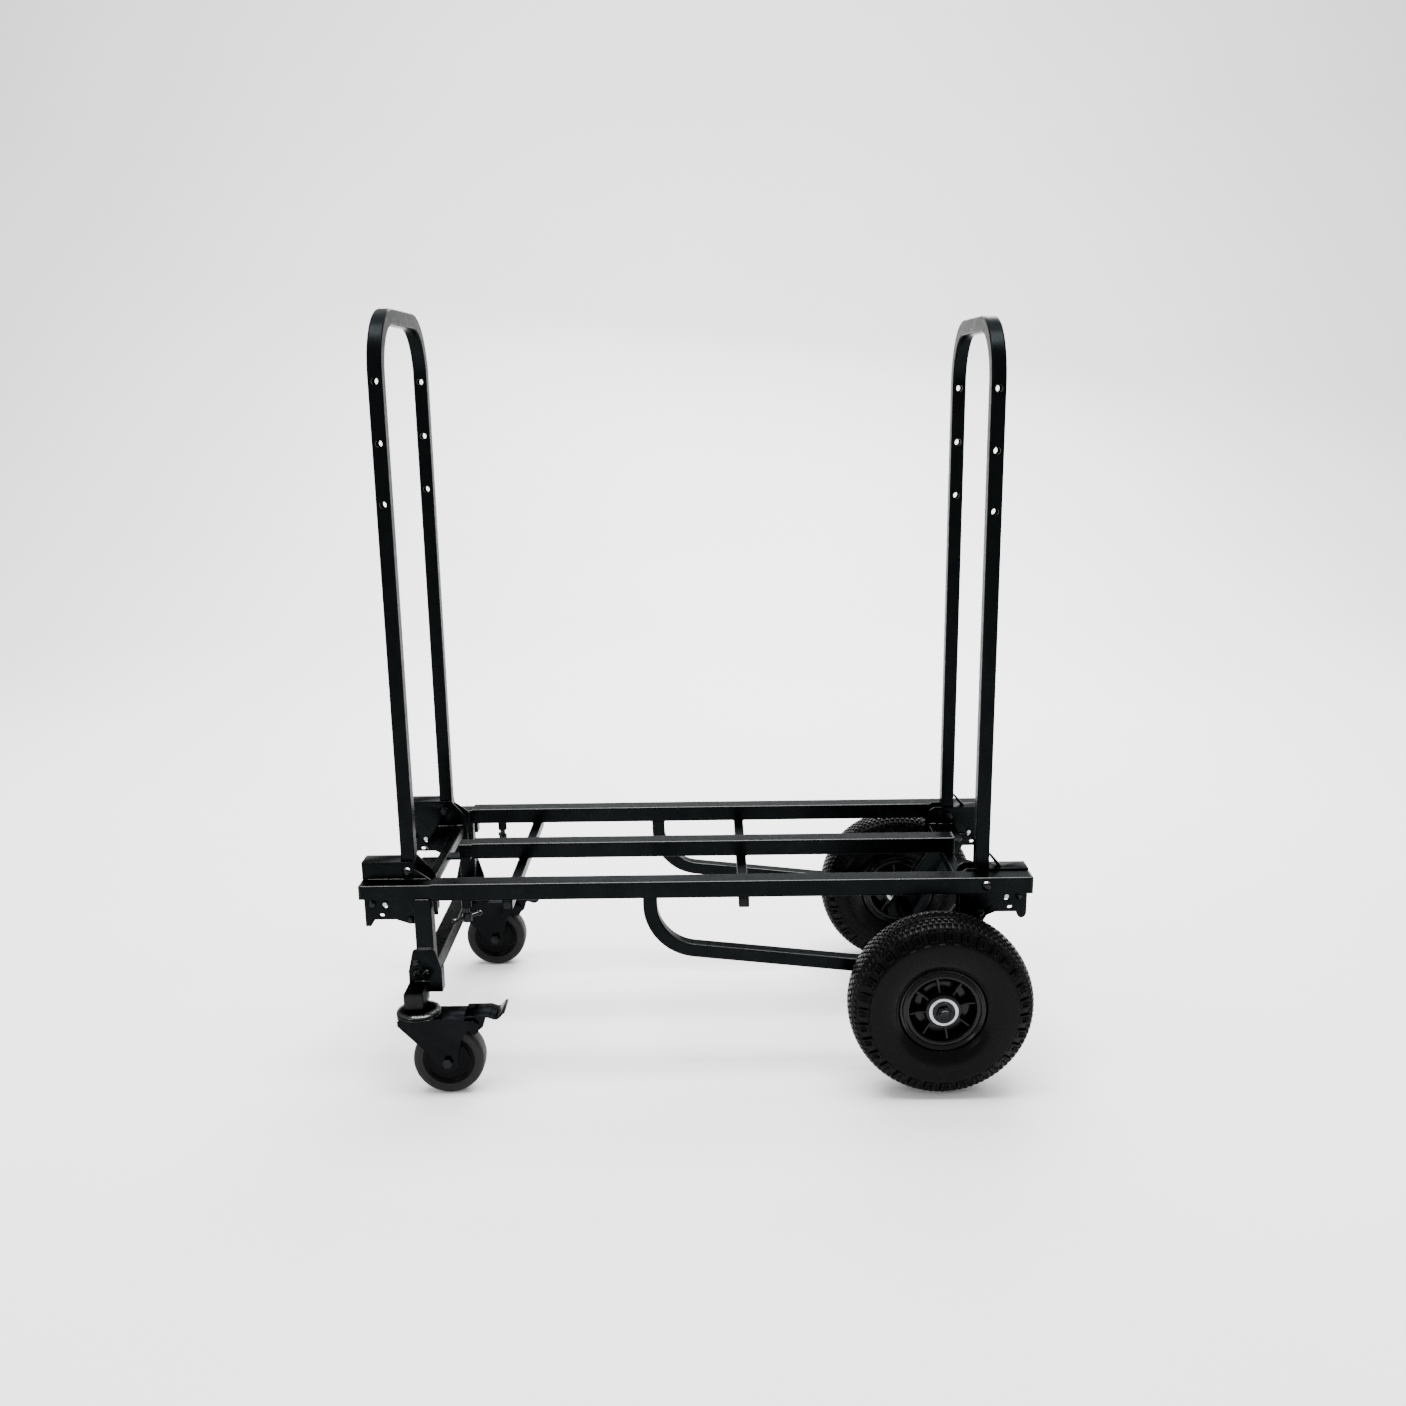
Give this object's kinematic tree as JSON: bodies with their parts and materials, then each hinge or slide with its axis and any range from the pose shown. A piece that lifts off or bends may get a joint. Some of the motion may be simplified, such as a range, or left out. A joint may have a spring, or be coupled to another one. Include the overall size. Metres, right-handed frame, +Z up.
{
  "type": "convertible hand truck",
  "caption": "Convertible hand truck with a telescoping rail bed, folding handle loops at both ends, large rear wheels and braked swivel casters.",
  "frame": {"origin": "on the floor, midway between the ends of the retracted bed and on its centre plane", "axes": "+X from the caster end to the large-wheel end, +Z up, +Y completes the right-handed frame"},
  "size_m": [0.953, 0.545, 1.086],
  "materials": {
    "powder_coat": "satin black powder coat",
    "zinc": "zinc plated",
    "tyre": "moulded rubber",
    "rim_plastic": "moulded plastic",
    "caster_tread": "moulded rubber",
    "cap_plastic": "moulded plastic",
    "gloss_paint": "gloss black paint"
  },
  "bodies": {
    "rear_frame": {"outer_rail_near": "powder_coat", "outer_rail_mid": "powder_coat", "outer_rail_far": "powder_coat", "cross_brace_front": "powder_coat", "cross_brace_rear": "powder_coat", "rear_bracket_near": "powder_coat", "rear_bracket_far": "powder_coat", "rear_cross_tube": "powder_coat", "bent_support_near": "powder_coat", "bent_support_far": "powder_coat", "axle_beam": "powder_coat", "axle_plate_near": "powder_coat", "axle_plate_far": "powder_coat", "axle_shaft": "zinc", "axle_nuts": "zinc", "clamp_weld_nuts": "powder_coat", "rear_end_caps": "cap_plastic", "rear_pivot_bolts": "zinc", "rear_latch_bolts": "zinc"},
    "front_frame": {"inner_rail_near": "powder_coat", "inner_rail_mid": "powder_coat", "inner_rail_far": "powder_coat", "front_bracket_near": "powder_coat", "front_bracket_far": "powder_coat", "front_cross_tube": "powder_coat", "leg_near": "powder_coat", "leg_far": "powder_coat", "lower_cross_tube": "powder_coat", "caster_bracket_near": "powder_coat", "caster_bracket_far": "powder_coat", "swivel_head_near": "gloss_paint", "swivel_head_far": "gloss_paint", "caster_bracket_bolts": "zinc", "front_end_caps": "cap_plastic", "front_pivot_bolts": "zinc", "front_latch_bolts": "zinc"},
    "front_handle_loop": {"front_handle": "powder_coat"},
    "rear_handle_loop": {"rear_handle": "powder_coat"},
    "front_latch_lever_near": {"front_latch_near": "powder_coat"},
    "rear_latch_lever_near": {"rear_latch_near": "powder_coat"},
    "wheel_near": {"tyre_near": "tyre", "rim_near": "rim_plastic", "wheel_bearings_near": "zinc"},
    "caster_fork_body_near": {"caster_fork_near": "gloss_paint", "caster_axle_near": "zinc"},
    "caster_wheel_near": {"caster_tread_near": "caster_tread", "caster_core_near": "rim_plastic"},
    "brake_near": {"brake_pedal_near": "gloss_paint"},
    "clamp_near": {"clamp_screw_near": "zinc"},
    "front_latch_lever_far": {"front_latch_far": "powder_coat"},
    "rear_latch_lever_far": {"rear_latch_far": "powder_coat"},
    "wheel_far": {"tyre_far": "tyre", "rim_far": "rim_plastic", "wheel_bearings_far": "zinc"},
    "caster_fork_body_far": {"caster_fork_far": "gloss_paint", "caster_axle_far": "zinc"},
    "caster_wheel_far": {"caster_tread_far": "caster_tread", "caster_core_far": "rim_plastic"},
    "brake_far": {"brake_pedal_far": "gloss_paint"},
    "clamp_far": {"clamp_screw_far": "zinc"}
  },
  "joints": [
    {"name": "frame_extend", "type": "slide", "parent": "rear_frame", "child": "front_frame", "axis": [-1, 0, 0], "range_m": [0, 0.4]},
    {"name": "front_handle_fold", "type": "hinge", "parent": "front_frame", "child": "front_handle_loop", "pos_m": [-0.411, 0, 0.307], "axis": [0, 1, 0], "range_deg": [0, 86.5]},
    {"name": "rear_handle_fold", "type": "hinge", "parent": "rear_frame", "child": "rear_handle_loop", "pos_m": [0.411, 0, 0.286], "axis": [0, -1, 0], "range_deg": [0, 88.2]},
    {"name": "front_latch_near_press", "type": "hinge", "parent": "front_frame", "child": "front_latch_lever_near", "pos_m": [-0.4645, -0.14275, 0.259], "axis": [0, 1, 0], "range_deg": [0, 10], "stiffness_Nm_per_rad": 1.5, "springref_deg": -5.73},
    {"name": "rear_latch_near_press", "type": "hinge", "parent": "rear_frame", "child": "rear_latch_lever_near", "pos_m": [0.4645, -0.14275, 0.259], "axis": [0, -1, 0], "range_deg": [0, 10], "stiffness_Nm_per_rad": 1.5, "springref_deg": -5.73},
    {"name": "wheel_near_spin", "type": "hinge", "parent": "rear_frame", "child": "wheel_near", "pos_m": [0.342, -0.227, 0.13], "axis": [0, 1, 0], "continuous": true},
    {"name": "caster_near_swivel", "type": "hinge", "parent": "front_frame", "child": "caster_fork_body_near", "pos_m": [-0.394, -0.218, 0.11], "axis": [0, 0, 1], "continuous": true},
    {"name": "caster_wheel_near_spin", "type": "hinge", "parent": "caster_fork_body_near", "child": "caster_wheel_near", "pos_m": [-0.353, -0.218, 0.0508], "axis": [0, 1, 0], "continuous": true},
    {"name": "brake_near_press", "type": "hinge", "parent": "caster_fork_body_near", "child": "brake_near", "pos_m": [-0.3155, -0.218, 0.11], "axis": [0, 1, 0], "range_deg": [0, 12]},
    {"name": "clamp_near_turn", "type": "hinge", "parent": "rear_frame", "child": "clamp_near", "pos_m": [-0.3265, -0.1725, 0.243], "axis": [0, 0, 1], "range_deg": [0, 360]},
    {"name": "front_latch_far_press", "type": "hinge", "parent": "front_frame", "child": "front_latch_lever_far", "pos_m": [-0.4645, 0.14275, 0.259], "axis": [0, 1, 0], "range_deg": [0, 10], "stiffness_Nm_per_rad": 1.5, "springref_deg": -5.73},
    {"name": "rear_latch_far_press", "type": "hinge", "parent": "rear_frame", "child": "rear_latch_lever_far", "pos_m": [0.4645, 0.14275, 0.259], "axis": [0, -1, 0], "range_deg": [0, 10], "stiffness_Nm_per_rad": 1.5, "springref_deg": -5.73},
    {"name": "wheel_far_spin", "type": "hinge", "parent": "rear_frame", "child": "wheel_far", "pos_m": [0.342, 0.227, 0.13], "axis": [0, 1, 0], "continuous": true},
    {"name": "caster_far_swivel", "type": "hinge", "parent": "front_frame", "child": "caster_fork_body_far", "pos_m": [-0.394, 0.218, 0.11], "axis": [0, 0, 1], "continuous": true},
    {"name": "caster_wheel_far_spin", "type": "hinge", "parent": "caster_fork_body_far", "child": "caster_wheel_far", "pos_m": [-0.353, 0.218, 0.0508], "axis": [0, 1, 0], "continuous": true},
    {"name": "brake_far_press", "type": "hinge", "parent": "caster_fork_body_far", "child": "brake_far", "pos_m": [-0.3155, 0.218, 0.11], "axis": [0, 1, 0], "range_deg": [0, 12]},
    {"name": "clamp_far_turn", "type": "hinge", "parent": "rear_frame", "child": "clamp_far", "pos_m": [-0.3265, 0.1725, 0.243], "axis": [0, 0, 1], "range_deg": [0, 360]}
  ]
}
